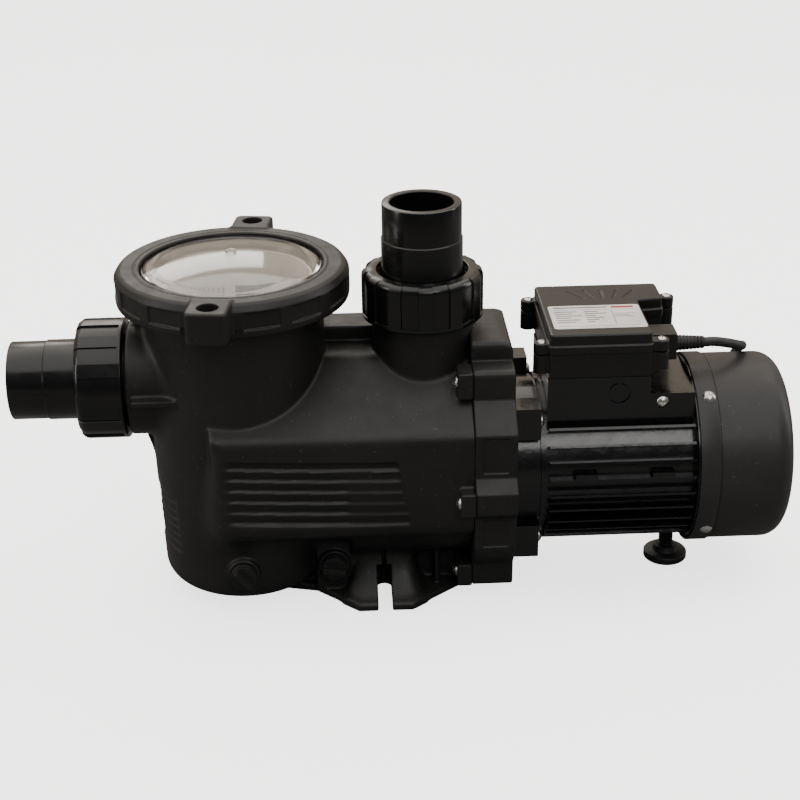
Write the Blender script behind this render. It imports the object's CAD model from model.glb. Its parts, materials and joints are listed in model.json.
"""Looks of the pool pump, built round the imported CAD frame. Lengths in helpers are millimetres."""

import json
import math
from contextlib import contextmanager

import bmesh
import bpy
import numpy as np
from mathutils import Matrix, Vector


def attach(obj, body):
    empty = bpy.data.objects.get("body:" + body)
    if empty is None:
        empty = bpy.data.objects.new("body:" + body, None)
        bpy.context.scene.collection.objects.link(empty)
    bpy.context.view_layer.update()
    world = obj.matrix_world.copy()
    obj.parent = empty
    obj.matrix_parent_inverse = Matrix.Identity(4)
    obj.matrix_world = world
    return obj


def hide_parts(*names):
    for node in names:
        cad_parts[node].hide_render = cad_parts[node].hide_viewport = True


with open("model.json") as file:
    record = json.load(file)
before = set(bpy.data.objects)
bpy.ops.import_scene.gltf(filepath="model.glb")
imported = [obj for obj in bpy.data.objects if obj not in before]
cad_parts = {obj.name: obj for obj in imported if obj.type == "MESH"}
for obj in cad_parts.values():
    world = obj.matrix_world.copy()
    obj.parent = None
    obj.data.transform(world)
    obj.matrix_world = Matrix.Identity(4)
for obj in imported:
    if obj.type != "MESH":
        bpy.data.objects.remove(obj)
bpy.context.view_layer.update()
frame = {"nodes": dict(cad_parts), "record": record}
NODES = frame["nodes"]
MM = 0.001

# ------------ layout, as in the CAD

AXIS_Z = 106.0  # height of the motor shaft
POT_X = -150.0  # axis of the strainer pot
SUCTION_Z = 184.0  # height of the suction pipe
JOINT_X = 36.0  # face between housing and rear cover
BOX_HALF = 82  # half width of the volute box
BOX_TOP = 205
BORE = 26  # radius of both pipe ways
FEET_X = -36  # centre line of the floor slots
SLOT_R = 5.7
RING_LUGS = (262.5, 82.5)  # degrees round the pot
FOOT_X = 208
GRIP = (42, 66)  # where the plug's grip starts and ends
COIL = (215.0, 165.0)  # centre of the coiled cable
CABLE_D = 8.0


def add(name, data):
    made = bpy.data.objects.new(name, data)
    bpy.context.scene.collection.objects.link(made)
    return made


# ------------ camera

VIEW_ANGLES = (2.23, 25.04, -0.84)  # yaw, pitch and roll in degrees
VIEW_FROM = (-0.06638, -1.21587, 0.72435)
SENSOR_WIDTH = 36
LENS = 73.66


def make_camera():
    yaw, pitch, roll = (math.radians(a) for a in VIEW_ANGLES)
    forward = Vector((math.sin(yaw) * math.cos(pitch), math.cos(yaw) * math.cos(pitch),
                      -math.sin(pitch)))
    right = Vector((math.cos(yaw), -math.sin(yaw), 0))
    up = right.cross(forward)
    side = math.cos(roll) * right + math.sin(roll) * up
    top = -math.sin(roll) * right + math.cos(roll) * up
    data = bpy.data.cameras.new("camera")
    data.sensor_width = SENSOR_WIDTH
    data.lens = LENS
    data.clip_start, data.clip_end = 0.05, 50
    cam = add("camera", data)
    turn = Matrix((side, top, -forward)).transposed()
    cam.matrix_world = Matrix.Translation(VIEW_FROM) @ turn.to_4x4()
    bpy.context.scene.camera = cam


make_camera()

# ------------ materials


def set_stops(ramp, stops):
    elements = ramp.color_ramp.elements
    while len(elements) < len(stops):
        elements.new(0.5)
    for e, (place, colour) in zip(elements, stops):
        e.position, e.color = place, (*colour, 1)


class Tree:
    """A node tree with short ways to add ramps, ranges, sums and mixes."""

    def __init__(self, tree):
        self.tree = tree

    def node(self, kind, **props):
        made = self.tree.nodes.new(kind)
        for key, value in props.items():
            setattr(made, key, value)
        return made

    def link(self, a, b):
        self.tree.links.new(a, b)

    def feed(self, value, socket):
        if isinstance(value, bpy.types.NodeSocket):
            self.link(value, socket)
        else:
            socket.default_value = value

    def ramp(self, fac, stops):
        r = self.node("ShaderNodeValToRGB")
        set_stops(r, stops)
        self.link(fac, r.inputs["Fac"])
        return r.outputs["Color"]

    def level(self, fac, low, high, start=0.0, stop=1.0):
        m = self.node("ShaderNodeMapRange")
        for key, value in (("From Min", start), ("From Max", stop), ("To Min", low),
                           ("To Max", high)):
            m.inputs[key].default_value = value
        self.link(fac, m.inputs["Value"])
        return m.outputs["Result"]

    def math(self, kind, a, b):
        m = self.node("ShaderNodeMath", operation=kind)
        self.feed(a, m.inputs[0])
        self.feed(b, m.inputs[1])
        return m.outputs[0]

    def mix(self, factor, a, b, blend="MIX"):
        m = self.node("ShaderNodeMix", data_type="RGBA", blend_type=blend)
        for value, key in ((factor, "Factor"), (a, 6), (b, 7)):
            self.feed(value, m.inputs[key])
        return m.outputs[2]


class Shader(Tree):
    """A Principled material with noise in the object's own coordinates, and bump."""

    def __init__(self, name, **sockets):
        self.mat = bpy.data.materials.new(name)
        self.mat.use_nodes = True
        super().__init__(self.mat.node_tree)
        self.bsdf = self.tree.nodes["Principled BSDF"]
        for key, value in sockets.items():
            self.bsdf.inputs[key.replace("_", " ")].default_value = value
        self.coords = self.node("ShaderNodeTexCoord").outputs["Object"]

    def noise(self, scale, detail=2.0, rough=0.5, stretch=None):
        n = self.node("ShaderNodeTexNoise")
        n.inputs["Scale"].default_value = scale
        n.inputs["Detail"].default_value = detail
        n.inputs["Roughness"].default_value = rough
        source = self.coords
        if stretch:
            m = self.node("ShaderNodeMapping")
            m.inputs["Scale"].default_value = stretch
            self.link(source, m.inputs["Vector"])
            source = m.outputs["Vector"]
        self.link(source, n.inputs["Vector"])
        return n.outputs["Fac"]

    def bump(self, height, distance, strength=1.0):
        b = self.node("ShaderNodeBump")
        b.inputs["Strength"].default_value = strength
        b.inputs["Distance"].default_value = distance
        self.link(height, b.inputs["Height"])
        self.link(b.outputs["Normal"], self.bsdf.inputs["Normal"])

    def colour(self, socket):
        self.link(socket, self.bsdf.inputs["Base Color"])

    def roughness(self, socket):
        self.link(socket, self.bsdf.inputs["Roughness"])


def tint(colour, factor):
    return tuple(min(1.0, c * factor) for c in colour)


def moulded(name, colour, rough, spread=0.08, grain=900, depth=0.00006, specular=0.35,
            cloud=18, dust=0.0):
    """Moulded plastic: faint flow clouds, spark-eroded grain and fine dust specks."""
    s = Shader(name, Roughness=rough, Specular_IOR_Level=specular, IOR=1.5)
    clouds = s.noise(cloud, 4, 0.6)
    base = s.ramp(clouds, [(0.3, tint(colour, 0.82)), (0.7, tint(colour, 1.22))])
    if dust:
        specks = s.ramp(s.noise(420, 1, 0.3), [(0.735, (0, 0, 0)), (0.78, (1, 1, 1))])
        base = s.mix(s.math("MULTIPLY", specks, dust), base, (*tint(colour, 7), 1))
    s.colour(base)
    s.roughness(s.level(s.noise(60, 3, 0.6), rough - spread, rough + spread, 0.3, 0.7))
    s.bump(s.noise(grain, 2, 0.6), depth, 0.6)
    return s.mat


def metal(name, colour, rough, stretch=(1, 1, 1), scale=700):
    s = Shader(name, Metallic=1.0, Roughness=rough)
    s.colour(s.ramp(s.noise(scale, 3, 0.6, stretch), [(0.25, tint(colour, 0.75)),
                                                      (0.75, tint(colour, 1.12))]))
    s.roughness(s.level(s.noise(scale / 3, 2, 0.5, stretch), rough * 0.7, rough * 1.5, 0.3, 0.7))
    s.bump(s.noise(scale, 2, 0.5, stretch), 0.00002, 0.5)
    return s.mat


def painted(name, colour, rough, coat=0.5):
    """Gloss paint over cast metal: orange peel and the casting's slow waves."""
    s = Shader(name, Roughness=rough, Coat_Weight=coat, Coat_Roughness=0.12,
               Specular_IOR_Level=0.45)
    s.colour(s.ramp(s.noise(30, 4, 0.6), [(0.3, tint(colour, 0.8)), (0.7, tint(colour, 1.25))]))
    s.roughness(s.level(s.noise(90, 3, 0.6), rough * 0.75, rough * 1.4, 0.3, 0.7))
    peel = s.noise(330, 3, 0.55)
    waves = s.noise(70, 2, 0.5)
    s.bump(s.math("ADD", s.math("MULTIPLY", waves, 2.0), peel), 0.00016, 0.7)
    return s.mat


def clear(name):
    s = Shader(name, Base_Color=(0.97, 0.965, 0.955, 1), Transmission_Weight=1.0, IOR=1.49)
    s.roughness(s.level(s.noise(26, 4, 0.6), 0.015, 0.07, 0.3, 0.7))
    s.bump(s.noise(900, 2, 0.5), 0.00001, 0.3)
    return s.mat


def sheath(name):
    s = Shader(name, Roughness=0.5, Specular_IOR_Level=0.4)
    s.colour(s.ramp(s.noise(160, 3, 0.6), [(0.3, (0.013, 0.013, 0.014)),
                                           (0.7, (0.026, 0.025, 0.025))]))
    s.roughness(s.level(s.noise(120, 2, 0.6), 0.38, 0.6, 0.3, 0.7))
    s.bump(s.noise(1400, 2, 0.6), 0.00005, 0.6)
    return s.mat


LOOKS = {
    "housing_plastic": (moulded, (0.0128, 0.0123, 0.0118), 0.45, 0.07, 1100,
                               0.00007, 0.30, 12, 0.35),
    "ring_plastic": (moulded, (0.0105, 0.0096, 0.0086), 0.46, 0.06, 900, 0.00008,
                            0.33, 16, 0.3),
    "union_plastic": (moulded, (0.0036, 0.0034, 0.0034), 0.22, 0.06, 500,
                             0.00003, 0.42, 20, 0.12),
    "box_plastic": (moulded, (0.0085, 0.0081, 0.0078), 0.36, 0.06, 1300, 0.00006,
                           0.32, 18, 0.2),
    "fan_cover_plastic": (moulded, (0.0270, 0.0258, 0.0255), 0.42, 0.05,
                                 1500, 0.00004, 0.26, 10, 0.2),
    "motor_paint": (painted, (0.0024, 0.0023, 0.0026), 0.2, 0.25),
    "stainless": (metal, (0.62, 0.60, 0.565), 0.24, (1, 1, 1), 1500),
    "black_rubber": (moulded, (0.012, 0.012, 0.012), 0.6, 0.08, 1300, 0.00005),
    "cable_sheath": (sheath,),
    "tie_plastic": (moulded, (0.016, 0.016, 0.016), 0.4, 0.06),
    "pin_brass": (metal, (0.72, 0.69, 0.62), 0.18, (1, 1, 1), 900),
    "label_film": (moulded, (0.62, 0.585, 0.565), 0.32, 0.05, 600, 0.00002, 0.5, 30),
    "label_ink": (moulded, (0.05, 0.05, 0.055), 0.45, 0.05, 800, 0.00001),
    "label_red": (moulded, (0.33, 0.045, 0.04), 0.45, 0.05, 800, 0.00001),
    "white_plastic": (moulded, (0.72, 0.70, 0.64), 0.42, 0.06),
    "foot_plastic": (moulded, (0.015, 0.015, 0.0155), 0.46, 0.07, 900, 0.00007),
    "impeller_plastic": (moulded, (0.04, 0.04, 0.044), 0.4, 0.06),
    "seal_ceramic": (moulded, (0.74, 0.70, 0.62), 0.25, 0.05),
    "seal_carbon": (moulded, (0.03, 0.03, 0.033), 0.3, 0.05),
    "lamination_steel": (metal, (0.36, 0.37, 0.39), 0.38, (90, 1, 1), 30),
    "copper_winding": (metal, (0.50, 0.22, 0.08), 0.3, (6, 1, 1), 300),
    "bearing_steel": (metal, (0.70, 0.70, 0.71), 0.16),
    "shaft_steel": (metal, (0.58, 0.58, 0.58), 0.2, (30, 1, 1), 60),
    "clear_lid": (clear,),
    "basket_plastic": (moulded, (0.80, 0.745, 0.68), 0.42, 0.06, 800, 0.00005,
                              0.45, 14),
}
MAT = {name: make(name, *rest) for name, (make, *rest) in LOOKS.items()}

# ------------ pieces


def piece(name, mesh, body, material, replaces=(), slot=None):
    """Makes the object, gives it its material and lets it ride on its body."""
    o = add(name, mesh)
    o.data.materials.clear()
    o.data.materials.append(MAT[material])
    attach(o, body)
    if replaces:
        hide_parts(*replaces)
    slot = slot or material
    return o


@contextmanager
def editing(mesh):
    bm = bmesh.new()
    bm.from_mesh(mesh)
    yield bm
    bm.to_mesh(mesh)
    bm.free()


def fix_normals(mesh):
    with editing(mesh) as bm:
        bmesh.ops.recalc_face_normals(bm, faces=bm.faces)


def mesh_of(name, points, faces, smooth=True):
    """points in millimetres, faces as an (n, k) array or a list."""
    mesh = bpy.data.meshes.new(name)
    if isinstance(faces, np.ndarray):
        n, k = faces.shape
        mesh.vertices.add(len(points))
        mesh.vertices.foreach_set("co", (np.asarray(points, float) * MM).astype(np.float32).ravel())
        mesh.loops.add(n * k)
        mesh.loops.foreach_set("vertex_index", faces.astype(np.int32).ravel())
        mesh.polygons.add(n)
        mesh.polygons.foreach_set("loop_start", np.arange(0, n * k, k, dtype=np.int32))
        mesh.update(calc_edges=True)
        mesh.validate()
    else:
        mesh.from_pydata([tuple(c * MM for c in p) for p in points], [], faces)
    if smooth:
        mesh.shade_smooth()
    return mesh


def fillet(points, radius, steps=4, closed=False):
    """Rounds the corners of an outline; radius is one number or one for each point."""
    n = len(points)
    radii = radius if isinstance(radius, (list, tuple)) else [radius] * n
    made = []
    for i, here in enumerate(points):
        here = np.array(here, float)
        if radii[i] <= 0 or (not closed and i in (0, n - 1)):
            made.append(tuple(here))
            continue
        before, after = np.array(points[i - 1], float), np.array(points[(i + 1) % n], float)
        a, b = before - here, after - here
        la, lb = np.linalg.norm(a), np.linalg.norm(b)
        a, b = a / la, b / lb
        half = math.acos(max(-1.0, min(1.0, float(a @ b)))) / 2
        if half > 1.54 or half < 0.02:
            made.append(tuple(here))
            continue
        reach = min(radii[i] / math.tan(half), la * 0.49, lb * 0.49)
        r = reach * math.tan(half)
        centre = here + (a + b) / np.linalg.norm(a + b) * (r / math.sin(half))
        start, stop = here + a * reach, here + b * reach
        a0 = math.atan2(*(start - centre)[::-1])
        a1 = math.atan2(*(stop - centre)[::-1])
        turn = (a1 - a0 + math.pi) % (2 * math.pi) - math.pi
        for k in range(steps + 1):
            t = a0 + turn * k / steps
            made.append((centre[0] + r * math.cos(t), centre[1] + r * math.sin(t)))
    return made


Z_UP = Matrix.Identity(3)
X_UP = Matrix(((0, 0, 1), (0, 1, 0), (-1, 0, 0)))  # local +Z goes to +X
X_DOWN = Matrix(((0, 0, -1), (0, 1, 0), (1, 0, 0)))  # local +Z goes to -X


def placed(points, origin, axes=Z_UP):
    turn = np.array(axes, float)
    return np.asarray(points, float) @ turn.T + np.array(origin, float)


def lathe_data(profile, segments, closed):
    """Turns a profile of (radius, height) about Z; a point at radius 0 is a pole."""
    points, rings = [], []
    for r, h in profile:
        if r < 1e-6:
            rings.append([len(points)])
            points.append((0.0, 0.0, h))
        else:
            start = len(points)
            rings.append(list(range(start, start + segments)))
            points += [(r * math.cos(2 * math.pi * k / segments),
                        r * math.sin(2 * math.pi * k / segments), h) for k in range(segments)]
    faces = []
    for a, b in zip(rings, rings[1:] + rings[:1] if closed else rings[1:]):
        if len(a) == 1 and len(b) == 1:
            continue
        for k in range(segments):
            j = (k + 1) % segments
            if len(a) == 1:
                faces.append((a[0], b[j], b[k]))
            elif len(b) == 1:
                faces.append((a[k], a[j], b[0]))
            else:
                faces.append((a[k], a[j], b[j], b[k]))
    return points, faces


def skin(name, points, faces, sharp, body, material, replaces):
    mesh = mesh_of(name, points, faces)
    fix_normals(mesh)
    mesh.set_sharp_from_angle(angle=math.radians(sharp))
    return piece(name, mesh, body, material, replaces)


def lathe(name, profile, origin, axes, body, material, segments, closed=True, replaces=()):
    points, faces = lathe_data(profile, segments, closed)
    return skin(name, placed(points, origin, axes), faces, 50, body, material, replaces)


SAME_POINT = 2e-6  # metres between points that are one
FLAT_ANGLE = 0.6  # degrees below which two faces are one
EDGE_ANGLE = 38  # degrees above which an edge is broken


def polish(node, body, material, width):
    """The CAD node's own shape with its edges broken, as a piece that stands for it."""
    mesh = NODES[node].data.copy()
    with editing(mesh) as bm:
        bmesh.ops.remove_doubles(bm, verts=bm.verts, dist=SAME_POINT)
        bmesh.ops.dissolve_limit(bm, angle_limit=math.radians(FLAT_ANGLE), verts=bm.verts,
                                 edges=bm.edges)
    if "custom_normal" in mesh.attributes:
        mesh.attributes.remove(mesh.attributes["custom_normal"])
    mesh.shade_smooth()
    o = piece(node + "_look", mesh, body, material, (node,))
    b = o.modifiers.new("edges", "BEVEL")
    b.width = width * MM
    b.segments = 2
    b.limit_method = "ANGLE"
    b.angle_limit = math.radians(EDGE_ANGLE)
    b.harden_normals = False
    b.use_clamp_overlap = True
    b.miter_outer = "MITER_ARC"
    w = o.modifiers.new("shade", "WEIGHTED_NORMAL")
    w.keep_sharp = True
    w.weight = 50
    return o


# ------------ signed distance modelling

CORNERS = [(a, b, c) for a in (0, 1) for b in (0, 1) for c in (0, 1)]


class Field:
    """A block of space sampled on a regular grid, for shapes that blend into each other."""

    def __init__(self, low, high, step):
        self.low = np.array(low, float)
        self.step = np.array(step if hasattr(step, "__len__") else (step,) * 3, float)
        counts = np.ceil((np.array(high, float) - self.low) / self.step).astype(int) + 1
        axes = [(self.low[i] + self.step[i] * np.arange(counts[i])).astype(np.float32)
                for i in range(3)]
        self.x = axes[0][:, None, None]
        self.y = axes[1][None, :, None]
        self.z = axes[2][None, None, :]
        self.shape = tuple(counts)

    def surface(self, d):
        """Naive surface nets of the zero level: points in millimetres and quads."""
        d = np.ascontiguousarray(np.broadcast_to(d, self.shape)).astype(np.float32)
        nx, ny, nz = (n - 1 for n in self.shape)
        inside = d < 0
        count = np.zeros((nx, ny, nz), np.uint8)
        for a, b, c in CORNERS:
            count += inside[a:nx + a, b:ny + b, c:nz + c]
        active = (count > 0) & (count < 8)
        cells = np.argwhere(active)
        values = np.stack([d[cells[:, 0] + a, cells[:, 1] + b, cells[:, 2] + c]
                           for a, b, c in CORNERS])
        total = np.zeros((len(cells), 3))
        hits = np.zeros(len(cells))
        for p in range(8):
            for q in range(p + 1, 8):
                cp, cq = np.array(CORNERS[p], float), np.array(CORNERS[q], float)
                if np.abs(cp - cq).sum() != 1:
                    continue
                cross = (values[p] < 0) != (values[q] < 0)
                t = np.where(cross, values[p] / np.where(cross, values[p] - values[q], 1), 0)
                total += np.where(cross[:, None], cp + t[:, None] * (cq - cp), 0)
                hits += cross
        points = self.low + (cells + total / hits[:, None]) * self.step
        ids = np.full((nx, ny, nz), -1, np.int32)
        ids[active] = np.arange(len(cells), dtype=np.int32)
        quads = []
        for axis in range(3):
            u, v = (axis + 1) % 3, (axis + 2) % 3
            first = np.take(inside, range(self.shape[axis] - 1), axis)
            second = np.take(inside, range(1, self.shape[axis]), axis)
            change = np.argwhere(first != second)
            keep = ((change[:, u] > 0) & (change[:, u] < self.shape[u] - 1)
                    & (change[:, v] > 0) & (change[:, v] < self.shape[v] - 1))
            change = change[keep]
            ring = []
            for du, dv in ((-1, -1), (0, -1), (0, 0), (-1, 0)):
                cell = change.copy()
                cell[:, u] += du
                cell[:, v] += dv
                ring.append(ids[cell[:, 0], cell[:, 1], cell[:, 2]])
            quad = np.stack(ring, 1)
            outward = first[change[:, 0], change[:, 1], change[:, 2]]
            quad[~outward] = quad[~outward][:, ::-1]
            quads.append(quad)
        return points, np.concatenate(quads)

    def sample(self, d, points):
        """Trilinear value of the grid d at points."""
        t = (points - self.low) / self.step
        base = np.clip(np.floor(t).astype(int), 0, np.array(self.shape) - 2)
        t = np.clip(t - base, 0, 1)
        value = 0
        for a, b, c in CORNERS:
            w = ((t[:, 0] if a else 1 - t[:, 0]) * (t[:, 1] if b else 1 - t[:, 1])
                 * (t[:, 2] if c else 1 - t[:, 2]))
            value = value + w * d[base[:, 0] + a, base[:, 1] + b, base[:, 2] + c]
        return value

    def normals(self, d, points, reach=0.55):
        """Unit gradient of the grid d at points: smooth shading that knows the true shape."""
        made = []
        for axis in range(3):
            shift = np.zeros(3)
            shift[axis] = self.step[axis] * reach
            made.append((self.sample(d, points + shift) - self.sample(d, points - shift))
                        / shift[axis])
        n = np.stack(made, 1)
        return n / np.maximum(np.linalg.norm(n, axis=1, keepdims=True), 1e-6)


def profile_field(f, r, points):
    """Distance to a closed (radius, height) outline for the field's r(x, y) and z."""
    span = np.arange(0, float(r.max()) + 1, 0.25)
    z = f.z.ravel()
    table = outline(span[:, None], z[None, :], points)
    flat = r[:, :, 0].ravel()
    made = np.empty((flat.size, z.size), np.float32)
    for k in range(z.size):
        made[:, k] = np.interp(flat, span, table[:, k])
    return made.reshape(f.shape)


def smin(a, b, k):
    h = np.clip(0.5 + 0.5 * (b - a) / k, 0, 1)
    return b + (a - b) * h - k * h * (1 - h)


def smax(a, b, k):
    return -smin(-a, -b, k)


def cut(body, tool):
    return np.maximum(body, -tool)


def rounded(d, w, low, high, r):
    """Meets a cross-section distance d with a slab low..high of w, with edges of radius r."""
    qa = d + r
    qb = np.abs(w - (low + high) / 2) - ((high - low) / 2 - r)
    return (np.hypot(np.maximum(qa, 0), np.maximum(qb, 0))
            + np.minimum(np.maximum(qa, qb), 0) - r)


def block(f, low, high, r):
    q = [np.abs(c - (a + b) / 2) - ((b - a) / 2 - r)
         for c, a, b in zip((f.x, f.y, f.z), low, high)]
    out = np.sqrt(sum(np.maximum(c, 0) ** 2 for c in q))
    return out + np.minimum(np.maximum(np.maximum(q[0], q[1]), q[2]), 0) - r


def outline(u, v, points):
    """Exact distance to a polygon in the plane of the arrays u and v."""
    pts = np.array(points, float)
    best = None
    sign = None
    for i in range(len(pts)):
        a, b = pts[i], pts[i - 1]
        e = b - a
        wu, wv = u - a[0], v - a[1]
        t = np.clip((wu * e[0] + wv * e[1]) / (e @ e), 0, 1)
        d = (wu - e[0] * t) ** 2 + (wv - e[1] * t) ** 2
        c1, c2 = v >= a[1], v < b[1]
        c3 = e[0] * wv > e[1] * wu
        flip = (c1 & c2 & c3) | (~c1 & ~c2 & ~c3)
        best = d if best is None else np.minimum(best, d)
        sign = np.where(flip, -1.0, 1.0) * (1.0 if sign is None else sign)
    return sign * np.sqrt(best)


def step_between(v, low, high):
    t = np.clip((v - low) / (high - low), 0, 1)
    return t * t * (3 - 2 * t)


def field_piece(name, f, d, body, material, replaces=()):
    d = np.ascontiguousarray(np.broadcast_to(d, f.shape)).astype(np.float32)
    points, quads = f.surface(d)
    mesh = mesh_of(name, points, quads)
    mesh.normals_split_custom_set_from_vertices(f.normals(d, points).astype(np.float32))
    return piece(name, mesh, body, material, replaces)


# ------------ pump housing


def louvres(f, along, top, count, pitch, depth):
    """How deep a row of louvres goes in: each leans in downwards and ends in a lit shelf."""
    t = (top - f.z) / pitch
    k = np.floor(t)
    part = t - k
    lean = np.where(part < 0.66, 0.30 + 0.70 * part / 0.66, (1 - part) / 0.34)
    lean = np.where(k < 1, lean * np.clip(part * 5, 0, 1), np.maximum(lean, 0.16))
    lean = np.where((k >= count - 1) & (part > 0.66), (1 - part) / 0.34, lean)
    return depth * lean * along * ((t > 0) & (t < count))


def housing():
    f = Field((-268, -98, -4), (40, 98, 270), (1.4, 1.25, 1.2))
    x, y, z = f.x, f.y, f.z
    ay = np.abs(y)
    rp = np.hypot(x - POT_X, y)
    angle = np.degrees(np.arctan2(y, x - POT_X))
    # strainer pot
    radius = np.interp(z, [9, 111, 252], [68.4, 71.4, 70.9]).astype(np.float32)
    rungs = louvres(f, step_between(-np.abs(np.abs(angle) - 172), -36, -30), 96, 7, 7.4, 2.2)
    pot = rounded(rp - radius + rungs, z, 9, 258, 15)
    pot = smin(pot, rounded(rp - 78, z, 252, 266, 1.2), 4)
    # volute box with its sloped shoulder
    rise = 5.0 * np.clip((-14 - x) / 150, 0, 1) ** 2
    panel = step_between(x, -166, -150) * step_between(-(x + 0.175 * (z - 78)), 13.2, 14.6)
    front = -y - BOX_HALF + (y < -60) * louvres(f, panel, 141 + rise, 6, 9.6, 3.0)
    front = np.maximum(front, y - BOX_HALF)
    slope = 0.587 * (ay - 20) + 0.809 * (z - BOX_TOP)
    under = 0.537 * (ay - 54) - 0.843 * (z - 58)
    box = smax(smax(smax(front, slope, 5), z - BOX_TOP, 4), under, 9)
    corner = 4 + 13 * step_between(168 - z, 0, 22)
    box = smax(box, -(x + 172), corner)
    box = smax(box, x - JOINT_X, 0.6)
    body = smin(pot, box, 2.0 + 12 * step_between(152 - z, 0, 60))
    volute = rounded(np.hypot(y, z - AXIS_Z) - 80, x, -62, JOINT_X, 3)
    body = smin(body, volute, 5)
    body = smin(body, block(f, (-100, 12, 190), (JOINT_X, 43, 217.5), 1.5), 2)
    rb = np.hypot(x, y)
    boss = rounded(rb - 40.5, z, 150, 231, 0.8)
    boss = np.maximum(boss, np.where(z < 221.5, x - JOINT_X, -99))
    body = smin(body, boss, 2.6)
    # suction boss and its ribs
    rs = np.hypot(y, z - SUCTION_Z)
    body = smin(body, rounded(rs - 46, x, -236, -160, 1.2), 6)
    upper = outline(x, z, [(-233, 184), (-232, 229), (-221, 252), (-200, 252), (-200, 184)])
    lower = outline(x, z, [(-230, 184), (-229, 140), (-219, 107), (-200, 107), (-200, 184)])
    body = smin(body, rounded(np.minimum(upper, lower), y, -2.4, 2.4, 0.8), 3)
    body = smin(body, block(f, (-231, -56, 181.6), (-196, 56, 186.4), 0.9), 3)
    # lugs for the rear cover's screws
    for side_y, lug_z, half_y, half_z in ((50, 193, 11, 11), (86, 106, 9, 10), (50, 23, 11, 10)):
        lug = rounded(np.maximum(np.abs(ay - side_y) - half_y, np.abs(z - lug_z) - half_z),
                      x, 24, JOINT_X, 1.2)
        body = smin(body, lug, 3)
    # floor plate, dished neck and the blocks between
    half = [(-128, 31), (-92, 40), (-57, 72.5), (-14, 72.5), (28, 38), (36, 34)]
    plan = outline(x, y, [(px, -py) for px, py in half] + half[::-1])
    plate = rounded(plan, z, 0, 6, 1.2)
    flare = 47 + 27 * np.clip((50 - z) / 46, 0, 1) ** 2.2 + 12 * np.clip((z - 44) / 26, 0, 1) ** 2
    wide = 26 + 8 * np.clip((34 - z) / 34, 0, 1) ** 1.5 + 14 * np.clip((z - 46) / 26, 0, 1) ** 2
    across = np.abs(x - FEET_X)
    neck = smax(smax(ay - flare, across - wide, 14), np.abs(z - 37) - 36, 2)
    body = smin(body, smin(plate, np.maximum(neck, plan - 0.5), 6), 7)
    for low_x, high_x, half_y, top, edge, blend in (
            (-92, -58, 46, 62, 2, 3), (-62, JOINT_X, 30, 46, 3, 4), (6, 10, 42, 60, 0.9, 2),
            (-142, -82, 28, 20, 3, 4)):
        body = smin(body, block(f, (low_x, -half_y, 3), (high_x, half_y, top), edge), blend)
    for bx, bz, face, deep in ((POT_X, 39, 74, 16), (-77, 31, 50, 12)):
        ring = np.hypot(x - bx, z - bz)
        body = smin(body, rounded(ring - 13, y, -face, -face + deep, 0.9), 2.5)
        body = cut(body, rounded(ring - 8.1, y, -face - 4, -face + 14, 0.2))
    # everything that is hollow
    hollow = rp - np.where(z > 260, 70.5, np.where(z > 246, 67.1, 64.9))
    body = cut(body, np.maximum(hollow, 16 - z))
    body = cut(body, np.maximum(rb - BORE, 171 - z))
    body = cut(body, np.maximum(rs - BORE, x + 200))
    rv = np.hypot(y, z - AXIS_Z)
    body = cut(body, np.maximum(rv - 66, -28 - x))
    body = cut(body, np.maximum(rv - 24, POT_X - x))
    slot = np.minimum(np.hypot(x - FEET_X, ay - 37.2) - SLOT_R,
                      np.maximum(across - SLOT_R, 37.2 - ay))
    body = cut(body, np.maximum(slot, z - 30))
    notch = np.maximum(np.maximum(across - 1.5, 43 - ay), z - 45)
    body = cut(body, notch)
    body = cut(body, z)
    return field_piece("housing_moulding", f, body, "root", "housing_plastic",
                       ("strainer_pot", "volute_housing", "floor_plate"))


def rear_cover():
    f = Field((33.5, -99, 9), (73, 99, 226), (0.9, 1.1, 1.1))
    x, y, z = f.x, f.y, f.z
    ay = np.abs(y)
    plan = [(-20, 221), (38, 221), (38, 205), (60, 205), (60, 181), (83, 161), (83, 124),
            (94, 115), (94, 97), (83, 88), (83, 60), (61, 34), (60, 13), (-20, 13)]
    shape = outline(ay, z, fillet(plan, [0, 5, 1.5, 5, 1.5, 4, 3, 3, 3, 3, 4, 2, 3, 0], 3, True))
    back = rounded(shape, x, JOINT_X, 69.5, 1.4)
    shoulder = smax(back, 0.707 * (x - 69.5) + 0.707 * (z - 218), 6)
    body = np.where(z > 150, shoulder, back)
    body = cut(body, np.hypot(y, z - 221.6) - 1.1)
    rv = np.hypot(y, z - AXIS_Z)
    body = cut(body, np.maximum(rv - 58, 44 - x))
    body = cut(body, rv - 15)
    # stiffening pockets on the flanks between the lugs
    for low_z, high_z in ((128, 158), (62, 86)):
        pocket = rounded(np.maximum(82 - ay, np.abs(z - (low_z + high_z) / 2)
                                    - (high_z - low_z) / 2), x, 42, 63, 0.8)
        body = cut(body, pocket)
    return field_piece("rear_cover_moulding", f, body, "root", "housing_plastic",
                       ("rear_cover",))


housing()
rear_cover()

# ------------ lock ring


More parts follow.
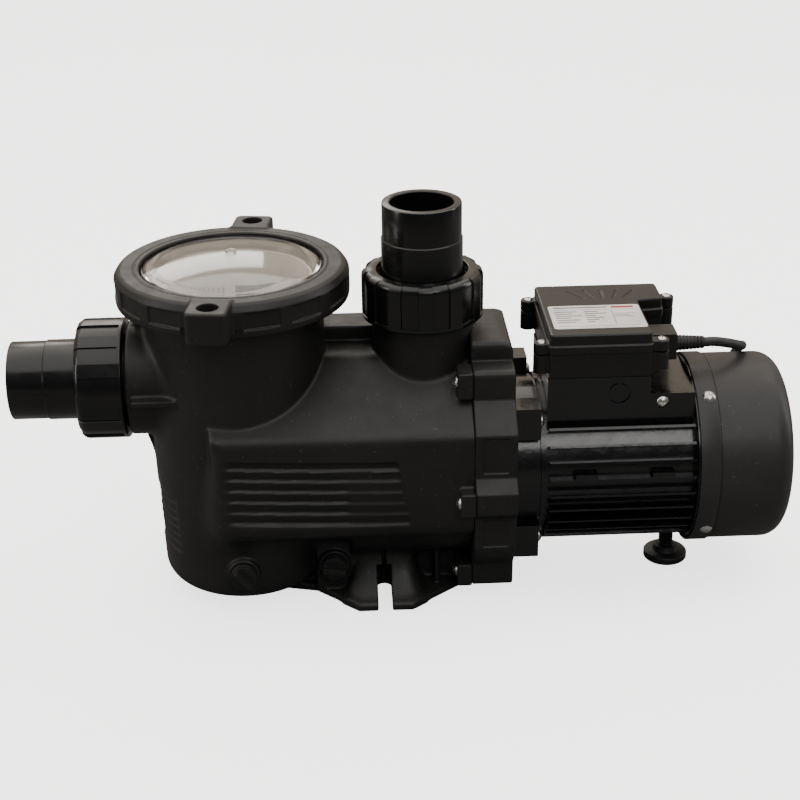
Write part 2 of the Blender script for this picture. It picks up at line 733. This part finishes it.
def lock_ring():
    f = Field((POT_X - 95, -116, 251), (POT_X + 95, 116, 283), 0.9)
    x, y, z = f.x, f.y, f.z
    u0, v0 = x - POT_X, y + 0 * x
    r = np.hypot(u0, v0)
    profile = fillet([(78.7, 253), (92, 253), (92.5, 258), (92.5, 273.5), (89.5, 278),
                      (86.5, 279.5), (72, 279.5), (72, 271.5), (78.7, 271.5)],
                     [0.6, 1.2, 1, 3, 2, 1.5, 1.4, 0.5, 0], 2, True)
    body = profile_field(f, r, profile)
    lip = np.abs(r - 76.6) - 0.5
    body = cut(body, np.maximum(lip, 278.9 - z))
    for a in RING_LUGS:
        ca, sa = math.cos(math.radians(a)), math.sin(math.radians(a))
        u, v = u0 * ca + v0 * sa, -u0 * sa + v0 * ca
        plan = fillet([(80, -16), (112.4, -16), (112.4, 16), (80, 16)], [0, 5, 5, 0], 4, True)
        lug = rounded(outline(u, v, plan), z, 255, 281, 2.4)
        lug = np.maximum(lug, 80.2 - r)
        body = smin(body, lug, 2.5)
        body = cut(body, np.hypot(u - 98.5, v) - 8)
        for side in (-1, 1):
            notch = np.maximum(np.maximum(np.abs(v - side * 20.5) - 2.4, 88.5 - u), z - 260)
            body = cut(body, np.where(u > 0, notch, 99))
        for k in (-3, -2, -1, 1, 2, 3):
            b = math.radians(a + k * 24)
            up, vp = u0 * math.cos(b) + v0 * math.sin(b), -u0 * math.sin(b) + v0 * math.cos(b)
            panel = rounded(np.maximum(90.4 - up, np.abs(vp) - 14), z, 259, 272.5, 0.6)
            body = cut(body, np.where(up > 0, panel, 99))
    return field_piece("lock_ring_moulding", f, body, "lock_ring", "ring_plastic",
                       ("lock_ring",))


lock_ring()

# ------------ turned and wound shapes


def revolve(profile, angles, offset=None):
    """Skins a closed (radius, height) outline over the angles; offset(r, h, a) moves it out."""
    profile = np.array(profile, float)
    a = np.radians(np.asarray(angles, float))[None, :]
    r, h = profile[:, :1], profile[:, 1:]
    grown = r + (offset(r, h, a) if offset else 0 * a)
    points = np.stack([grown * np.cos(a), grown * np.sin(a), h + 0 * a], 2)
    n, m = points.shape[:2]
    i, j = np.meshgrid(np.arange(n), np.arange(m), indexing="ij")
    i2, j2 = (i + 1) % n, (j + 1) % m
    quads = np.stack([i * m + j, i * m + j2, i2 * m + j2, i2 * m + j], 2).reshape(-1, 4)
    return points.reshape(-1, 3), quads


def turned(name, profile, origin, axes, body, material, angles, offset=None, replaces=(),
           sharp=40):
    points, quads = revolve(profile, angles, offset)
    return skin(name, placed(points, origin, axes), quads, sharp, body, material, replaces)


def dense(points, longest):
    """Splits an outline's long edges."""
    made = []
    for i, a in enumerate(points):
        b = points[(i + 1) % len(points)]
        n = max(1, int(math.hypot(b[0] - a[0], b[1] - a[1]) / longest))
        made += [(a[0] + (b[0] - a[0]) * k / n, a[1] + (b[1] - a[1]) * k / n) for k in range(n)]
    return made


# ------------ supply cable

BODY_OF = {n: b for b, members in frame["record"]["behaviour"]["bodies"].items()
           for n in members}
SLOT_OF = {p["node"]: p["material_slot"] for p in frame["record"]["subparts"]}


def cable():
    route = [(221, -10, 204), (228, -10, 204), (235, -8.5, 203.5), (243, -6, 201.5),
             (251, -2, 198.5), (258, 4, 194.5), (264, 14, 189.5), (268, 27, 184),
             (270, 40, 178), (271, 52, 169.5), (271, 63, 159.5), (271, 73, 147), (271, 80, 133),
             (271, 84, 118), (271, 86, 100), (271, 87, 82), (271, 88, 64), (271, 89, 46),
             (271, 92, 30), (270, 99, 16), (268.5, 111, 7), (266.5, 124, 4.2), (264.5, 136, 4.1)]
    stops = [0, 40, 300, 360, 650, 720, 1010, 1080, 1380, 1440, 1530, 1551.4]
    radii = [52, 48.3, 48, 40, 40, 40, 40, 48, 48, 44, 44.5, 48]
    heights = [4.1, 4.1, 4.1, 4.1, 4.1, 12, 12, 12, 12, 18.9, 18.9, 19.6]
    first = math.degrees(math.atan2(146 - COIL[1], 263.4 - COIL[0]))
    for t in np.linspace(0, stops[-1], 78):
        a = math.radians(first + t)
        r = np.interp(t, stops, radii)
        route.append((COIL[0] + r * math.cos(a), COIL[1] + r * math.sin(a),
                      np.interp(t, stops, heights)))
    route += [(207, 213.1, 18.6), (199, 213, 17.4), (193, 213, 17)]
    data = bpy.data.curves.new("supply_cable", "CURVE")
    data.dimensions = "3D"
    data.bevel_depth = CABLE_D / 2 * MM
    data.bevel_resolution = 5
    data.use_fill_caps = True
    data.resolution_u = 6
    line = data.splines.new("BEZIER")
    line.bezier_points.add(len(route) - 1)
    for p, here in zip(line.bezier_points, route):
        p.co = Vector(here) * MM
        p.handle_left_type = p.handle_right_type = "AUTO"
    cord = piece("supply_cable", data, "root", "cable_sheath", ("power_cable", "cable_coil"))
    relief = []
    for k in range(8):
        x = 1.2 + k * 2.9
        r = 6.5 - 0.19 * k
        relief += [(r, x), (r, x + 1.7), (r - 0.9, x + 2.0), (r - 0.9, x + 2.6)]
    relief = [(6.9, 0), (6.9, 1.0)] + relief[:-2] + [(4.2, 24.6), (4.05, 24.6), (4.05, 0)]
    relief = turned("strain_relief", relief, (202.6, -10, 204), X_UP, "root", "black_rubber",
                    np.arange(0, 360, 5))
    body = fillet([(4.1, 0), (5.4, 0), (6.4, 12), (9, 34), (12, 34), (17, 40), (17, 72),
                   (15, 74), (0, 74)], [0.5, 0.8, 4, 3, 2, 3, 2.5, 1.5, 0], 4)

    def grips(r, h, a):
        low, high = GRIP
        hold = (np.clip(np.sin((h - low) / (high - low) * math.pi), 0, 1) * (h > low)
                * (h < high))
        ribs = 0.6 + 0.4 * np.cos(a * 16)
        return -1.6 * hold * ribs * (r > 14) * np.abs(np.sin(a)) ** 2

    plug = turned("plug_moulding", dense(body, 3)[:-1], (200, 213, 17), X_DOWN, "root",
                  "black_rubber", np.arange(0, 360, 3), grips, ("plug_body",))
    for side in (-1, 1):
        pin = fillet([(0, 0), (2.4, 0), (2.4, 19), (0, 19)], [0, 0, 1.8, 0], 5)
        lathe("plug_pin_" + ("front" if side < 0 else "back"), pin,
                          (126, 213 + side * 9.5, 17), X_DOWN, "root", "pin_brass", 32, False,
                          ("plug_pins",) if side < 0 else ())
    tie = polish("coil_tie", "root", "tie_plastic", 0.3)


cable()

# ------------ pipe unions

SUCTION = ((-236.0, 0.0, SUCTION_Z), X_DOWN)
DISCHARGE = ((0.0, 0.0, 231.0), Z_UP)


def union_nut(end, place):
    profile = fillet([(40.6, 2), (47.5, 2), (48.5, 3), (48.5, 40), (36.5, 40), (36.5, 34.5),
                      (40.6, 34.5)], [0.4, 0.6, 0.6, 6, 0.8, 0.4, 0.4], 6, True)
    angles = []
    for k in range(12):
        for a in (-8.5, -8.05, -6, -3, 0, 3, 6, 8.05, 8.5, 11.75):
            angles.append(k * 30 + 15 + a)

    def panels(r, h, a):
        part = np.degrees(a) % 30 - 15
        return -1.5 * (np.abs(part) < 8.3) * (h > 5.8) * (r > 43.2)

    levels = dense(profile, 6)
    extra = (5.5, 5.95)
    made = []
    for i, p in enumerate(levels):
        q = levels[(i + 1) % len(levels)]
        made.append(p)
        if p[0] > 48.4 and q[0] > 48.4:
            for level in extra:
                if p[1] < level < q[1]:
                    made.append((48.5, level))
    name = end + "_nut"
    turned(name + "_ribbed", made, *place, name, "union_plastic", sorted(angles), panels,
           (name,), 30)


def union_tail(end, place):
    outer = [(31.5, 93.8), (31.2, 94.6), (30.4, 95), (25.9, 95), (25.1, 94.2), (25.1, 64),
             (23.5, 63), (23.5, 26.4), (39.5, 26.4), (39.5, 34), (34.5, 34), (32.3, 39),
             (32.3, 65.6), (31.5, 66.4)]
    angles = sorted(list(np.arange(0, 360, 2.5)) + [88.6, 89.3, 90.7, 91.4, 268.6, 269.3, 270.7,
                                                    271.4])

    def seam(r, h, a):
        part = np.abs(np.degrees(a) % 180 - 90)
        return 0.28 * (part < 1.1) * (r > 30) * (h > 40) * (h < 93)

    name = end + "_tail"
    turned(name + "_turned", outer, *place, name, "union_plastic", angles, seam, (name,), 30)


def thread(name, place, outer, inner, low, high, pitch, depth, body, material, replaces=()):
    """A tube whose outside carries a single-start thread."""
    count = int((high - low) / (pitch / 8))
    hs = np.linspace(low, high, count + 1)
    profile = [(outer, h) for h in hs] + [(inner, high), (inner, low)]

    def wind(r, h, a):
        phase = (h / pitch - a / (2 * math.pi)) % 1
        tooth = np.clip(np.abs(phase - 0.5) * 4 - 0.5, 0, 1)
        fade = np.clip((h - low) / 1.5, 0, 1) * np.clip((high - h) / 1.5, 0, 1)
        return -depth * np.where(r > outer - 0.01, 1 - (1 - tooth) * fade, 0)

    return turned(name, profile, *place, body, material, np.arange(0, 360, 3.75), wind,
                  replaces, 28)


for end, place in (("suction", SUCTION), ("discharge", DISCHARGE)):
    union_nut(end, place)
    union_tail(end, place)
    thread(end + "_boss_thread", place, 40.1, 26, -3, 26, 4, 1.5, "root", "housing_plastic")

# ------------ lid and basket


def lid():
    chord, rise, side, skin, edge = 68.0, 11.0, 278.0, 3.6, 71.4
    cap = (chord ** 2 + rise ** 2) / (2 * rise)
    half = math.asin(chord / cap)
    outer = [(62.5, 258), (66, 258), (66, 266.4), (77.8, 266.4), (77.8, 271), (edge, 271),
             (edge, 275.4), (edge - 0.6, 276.6), (69.4, 277.4)]
    for i in range(29):
        a = half * (1 - i / 28)
        lift = 0.35 if 62.5 < cap * math.sin(a) < 64.5 else 0
        outer.append((cap * math.sin(a), side + cap * (math.cos(a) - math.cos(half)) + lift))
    for i in range(29):
        a = half * 0.985 * i / 28
        outer.append(((cap - skin) * math.sin(a),
                      side + (cap - skin) * math.cos(a) - cap * math.cos(half)))
    outer += [(64.4, 273), (62.5, 269)]
    lathe("lid_dome", outer, (POT_X, 0, 0), Z_UP, "lid", "clear_lid", 160, True, ("clear_lid",))
    ring = fillet([(3.2, 288.5), (4.6, 288.5), (4.6, 290.4), (3.2, 290.4)], 0.4, 2, True)
    lathe("lid_nub", ring, (POT_X, 0, 0), Z_UP, "lid", "clear_lid", 48)


def pierced(name, outside, inside, keep, body, material, replaces=()):
    """A ring of cells between two (rows, columns, 3) sheets; keep says which cells are solid."""
    n, m = outside.shape[:2]
    points = np.concatenate([outside.reshape(-1, 3), inside.reshape(-1, 3)])
    inner = n * m
    faces = []
    for i, j in np.argwhere(keep):
        j2 = (j + 1) % m
        a, b, c, d = i * m + j, i * m + j2, (i + 1) * m + j2, (i + 1) * m + j
        faces.append((a, b, c, d))
        faces.append((a + inner, d + inner, c + inner, b + inner))
        for other, p, q in (((i - 1, j), b, a), ((i + 1, j), d, c), ((i, j - 1), a, d),
                            ((i, j + 1), c, b)):
            row, col = other[0], other[1] % m
            if not 0 <= row < len(keep) or not keep[row, col]:
                faces.append((p, q, q + inner, p + inner))
    mesh = mesh_of(name, points, np.array(faces))
    fix_normals(mesh)
    with editing(mesh) as bm:
        bmesh.ops.delete(bm, geom=[v for v in bm.verts if not v.link_faces], context="VERTS")
    mesh.set_sharp_from_angle(angle=math.radians(32))
    return piece(name, mesh, body, material, replaces)


def basket():
    low, rim, collar, cols = 62.0, 246.4, 268.5, 168
    zs = [low + 1.5, 70.0]
    while zs[-1] < 238:
        zs += [zs[-1] + 2.7, zs[-1] + 4.1]
    zs = np.array(zs + [rim])
    a = np.radians(np.arange(cols) * 360 / cols)
    rs = np.interp(zs, [low, low + 2, rim], [56.5, 57, 60.5])

    def sheet_of(shift):
        return np.stack([(rs[:, None] + shift) * np.cos(a) + POT_X, (rs[:, None] + shift)
                         * np.sin(a), zs[:, None] + 0 * a], 2)

    keep = np.ones((len(zs) - 1, cols), bool)
    for i in range(1, len(zs) - 2):
        if i % 2:
            for j in range(1, cols, 2):
                if 5 <= j % 42 <= 37:
                    keep[i, j] = False
    degrees = (np.arange(cols) + 0.5) * 360 / cols
    window = np.abs(degrees - 73) < 18.2
    keep[np.ix_((zs[:-1] > 185) & (zs[1:] < 243.5), window)] = False
    pierced("basket_wall", sheet_of(0), sheet_of(-2.2), keep, "basket", "basket_plastic",
            ("strainer_basket",))
    top = fillet([(58.3, rim - 0.4), (66.2, rim - 0.4), (66.2, rim + 3), (61.8, rim + 3),
                  (61.8, collar), (59.6, collar), (58.8, rim + 3)],
                 [0.3, 0.8, 0.8, 0.8, 0.7, 0.7, 0.3], 3, True)
    lathe("basket_collar", top, (POT_X, 0, 0), Z_UP, "basket", "basket_plastic", 144)
    ring = np.array([6, 12, 15, 19, 23, 27, 31, 35, 39, 43, 47, 50, 57.0])
    b = np.radians(np.arange(96) * 3.75)
    flat = [np.stack([ring[:, None] * np.cos(b) + POT_X, ring[:, None] * np.sin(b),
                      level + 0 * ring[:, None] * b], 2) for level in (low, low + 3.4)]
    keep = np.ones((len(ring) - 1, 96), bool)
    for i in range(2, 11, 2):
        keep[i, (np.arange(96) % 4 == 0)] = False
    pierced("basket_floor", flat[0], flat[1], keep, "basket", "basket_plastic")
    hub = fillet([(0.0, low), (6.4, low), (6.4, low + 5), (0.0, low + 5)], [0, 0.6, 1.2, 0], 3)
    lathe("basket_hub", hub, (POT_X, 0, 0), Z_UP, "basket", "basket_plastic", 48, False)


lid()
basket()

# ------------ motor end


def fan_cover():
    outer, end, corner, wall = 77.4, 294.0, 16.0, 2.0
    line = [(78.7, 216.4), (78.7, 231.0), (78.3, 231.7), (77.0, 232.0), (77.0, 232.9),
            (77.4, 233.3), (77.4, 277.9)]
    line += [(outer - corner + corner * math.cos(t), end - corner + corner * math.sin(t))
             for t in np.radians(np.arange(7.5, 90, 7.5))]
    line += [(r, end) for r in (61.4, 58, 46.5, 43, 31.5, 28, 17, 13, 4)]
    line = np.array(line)
    step = np.gradient(line, axis=0)
    step /= np.linalg.norm(step, axis=1, keepdims=True)
    inner = line - wall * np.stack([step[:, 1], -step[:, 0]], 1)
    inner[0] = (76.7, 216.4)
    a = np.radians(np.arange(0, 360, 1.875))

    def sheet_of(points):
        return np.stack([points[:, 1:] + 0 * a, points[:, :1] * np.sin(a),
                         points[:, :1] * np.cos(a) + AXIS_Z], 2)

    keep = np.ones((len(line) - 1, len(a)), bool)
    for i, (r0, r1) in enumerate(zip(line[:-1, 0], line[1:, 0])):
        if line[i, 1] > 293.9 and r0 - r1 > 10:
            keep[i, (np.arange(len(a)) % 8 < 3)] = False
    pierced("fan_cover_moulding", sheet_of(line), sheet_of(inner), keep, "root",
            "fan_cover_plastic", ("fan_cover",))


def foot():
    pad = fillet([(0, 0), (17.4, 0), (18.4, 1), (18.4, 5.5), (17.4, 6.5), (11, 7.5), (9.5, 12),
                  (6.5, 12), (6.5, 5), (0, 5)],
                 [0, 0.5, 0.8, 1.0, 1.0, 1.6, 0.8, 0.4, 0.4, 0], 3)
    lathe("foot_disc", pad, (FOOT_X, 0, 0), Z_UP, "foot_pad", "foot_plastic", 96, False,
          ("foot_pad",))
    thread("foot_screw", ((FOOT_X, 0, 0), Z_UP), 6.05, 1.2, 5.4, 43.5, 1.5, 0.6, "foot_stem",
           "foot_plastic", ("foot_stem",))


def box_lid():
    f = Field((82, -56, 209.5), (216, 70, 231), 0.8)
    x, y, z = f.x, f.y, f.z
    plan = fillet([(97, -47), (178, -47), (178, 24), (199, 27), (199, 61), (97, 61)],
                  [3, 3, 1, 3, 3, 3], 3, True)
    shape = outline(x, y, plan)
    body = smin(rounded(shape - 1.5, z, 212, 219.5, 0.9), rounded(shape, z, 213, 229, 2.2), 0.8)
    for px, py in ((91, -40), (91, 51), (186, -40), (207, 51)):
        ear = np.hypot(x - px, y - py) - 6.2
        inner = px + (5 if px < 140 else -5)
        web = np.maximum(np.abs(x - inner) - 5, np.abs(y - py) - 5.2)
        body = smin(body, rounded(np.minimum(ear, web), z, 212, 221, 0.9), 1)
        body = cut(body, np.hypot(x - px, y - py) - 2.2)
    body = cut(body, np.maximum(shape + 3, z - 227))
    for k in (-2, -1, 0, 1, 2):
        t = math.radians(-k * 17)
        u = (x - 150 - k * 11) * math.cos(t) + (y - 38) * math.sin(t)
        v = -(x - 150 - k * 11) * math.sin(t) + (y - 38) * math.cos(t)
        groove = np.hypot(u, np.maximum(np.abs(v) - 9.5, 0)) - 0.9
        body = cut(body, np.maximum(groove, 228.1 - z))
    return field_piece("terminal_box_lid_moulding", f, body, "root", "box_plastic",
                       ("terminal_box_lid",))


fan_cover()
foot()
box_lid()
for node, material, width in (
        ("motor_body", "motor_paint", 0.55), ("motor_front_flange", "motor_paint", 0.7),
        ("rear_end_shield", "motor_paint", 0.5), ("terminal_box_base", "box_plastic", 0.6),
        ("cable_gland", "box_plastic", 0.9),
        ("rear_cover_screws", "stainless", 0.25), ("flange_screws", "stainless", 0.3),
        ("fan_cover_screws", "stainless", 0.25), ("terminal_box_screws", "stainless", 0.2),
        ("earth_screw", "stainless", 0.25), ("pot_drain_plug", "housing_plastic", 0.7),
        ("volute_drain_plug", "housing_plastic", 0.7)):
    polish(node, BODY_OF[node], material, width)

# ------------ rating label


def plate_mesh(name, boxes, z0, z1):
    """Thin plates with rounded corners: boxes are (x0, y0, x1, y1, radius)."""
    points, faces = [], []
    for x0, y0, x1, y1, r in boxes:
        ring = fillet([(x0, y0), (x1, y0), (x1, y1), (x0, y1)], r, 3, True)
        n, start = len(ring), len(points)
        points += [(px, py, z0) for px, py in ring] + [(px, py, z1) for px, py in ring]
        faces += [tuple(range(start + n - 1, start - 1, -1)),
                  tuple(range(start + n, start + 2 * n))]
        faces += [(start + k, start + (k + 1) % n, start + n + (k + 1) % n, start + n + k)
                  for k in range(n)]
    return mesh_of(name, points, faces, False)


def label():
    piece("label_plate", plate_mesh("label_plate", [(102, -35, 176, 13, 2.5)], 229.0, 229.36),
          "root", "label_film", ("rating_label",))
    bars = [(106, 7.6, 150, 9.4, 0.3), (106, 3.4, 171, 3.8, 0.1)]
    for k, (a, b, c, d) in enumerate(((106, 124, 130, 141), (106, 120, 130, 148),
                                      (106, 127, 130, 138), (106, 118, 130, 145),
                                      (106, 125, 130, 140), (106, 121, 130, 136))):
        y = 0.4 - k * 4.3
        bars += [(a, y - 1.2, b, y, 0.2), (c, y - 1.2, d, y, 0.2)]
    bars += [(106, -30.5, 171, -30.1, 0.1), (153, -6.0, 171, -5.2, 0.2),
             (153, -9.0, 166, -8.2, 0.2), (153, -12.0, 169, -11.2, 0.2)]
    bars += [(152, -28, 152.5, 1.4, 0.1)]
    piece("label_print", plate_mesh("label_print", bars, 229.3, 229.4), "root", "label_ink",
          slot="label_film")
    piece("label_band", plate_mesh("label_band", [(153, 6.4, 171, 10.4, 0.4)], 229.3, 229.4),
          "root", "label_red", slot="label_film")


label()

# ------------ everything else, CAD shapes

for node, obj in NODES.items():
    obj.data.materials.clear()
    obj.data.materials.append(MAT[SLOT_OF[node]])

# ------------ stage and light


def make_stage():
    bm = bmesh.new()
    bmesh.ops.create_grid(bm, x_segments=1, y_segments=1, size=60)
    mesh = bpy.data.meshes.new("floor")
    bm.to_mesh(mesh)
    bm.free()
    floor = add("floor", mesh)
    floor.location = (0, 0, -0.0002)
    s = Shader("floor", Roughness=0.9, Specular_IOR_Level=0.0)
    pale = s.ramp(s.noise(3, 2, 0.5), [(0.2, (0.92, 0.92, 0.92)), (0.8, (0.94, 0.94, 0.94))])
    ray = s.node("ShaderNodeLightPath").outputs["Is Camera Ray"]
    s.colour(s.mix(ray, (0.17, 0.17, 0.17, 1), pale))
    s.bsdf.inputs["Emission Color"].default_value = (1, 1, 1, 1)
    s.link(s.math("MULTIPLY", ray, 2.2), s.bsdf.inputs["Emission Strength"])
    floor.data.materials.append(s.mat)
    world = bpy.data.worlds.new("studio")
    world.use_nodes = True
    w = Tree(world.node_tree)
    back = w.tree.nodes["Background"]
    split = w.node("ShaderNodeSeparateXYZ")
    w.link(w.node("ShaderNodeTexCoord").outputs["Generated"], split.inputs[0])
    ahead = w.ramp(w.level(split.outputs["Y"], 0, 1, -1, 1), [
        (0.0, (0.16, 0.16, 0.16)), (0.45, (0.30, 0.30, 0.30)), (0.75, (0.90, 0.77, 0.63)),
        (1.0, (1.0, 0.84, 0.66))])
    above = w.ramp(w.level(split.outputs["Z"], 0, 1), [
        (0.0, (0.55, 0.55, 0.55)), (0.25, (0.8, 0.8, 0.8)), (0.5, (1.1, 1.1, 1.1)),
        (1.0, (1.0, 1.0, 1.0))])
    ray = w.node("ShaderNodeLightPath").outputs["Is Camera Ray"]
    lit = w.mix(1, ahead, above, "MULTIPLY")
    w.link(w.mix(ray, lit, (2.7, 2.7, 2.7, 1)), back.inputs["Color"])
    back.inputs["Strength"].default_value = 0.9
    bpy.context.scene.world = world
    for name, place, width, height, watts, colour in (
            ("top", (0.0, 0.1, 2.5), 4.6, 4.6, 125, (1.0, 0.98, 0.95)),
            ("key", (0.7, -2.3, 1.9), 1.3, 0.9, 17, (1.0, 0.99, 0.97)),
            ("back", (-0.6, 2.6, 1.7), 1.3, 0.9, 14, (1.0, 0.98, 0.95)),
            ("left", (-2.2, -0.5, 1.0), 0.5, 1.6, 16, (1.0, 0.98, 0.96)),
            ("right", (2.3, 0.3, 1.0), 0.5, 1.6, 14, (0.97, 0.98, 1.0))):
        lamp = bpy.data.lights.new(name, "AREA")
        lamp.shape = "RECTANGLE"
        lamp.energy, lamp.size, lamp.size_y, lamp.color = watts, width, height, colour
        o = add(name, lamp)
        o.location = place
        aim = Vector((0, 0, 0.12)) - Vector(place)
        o.rotation_euler = aim.to_track_quat("-Z", "Y").to_euler()


make_stage()
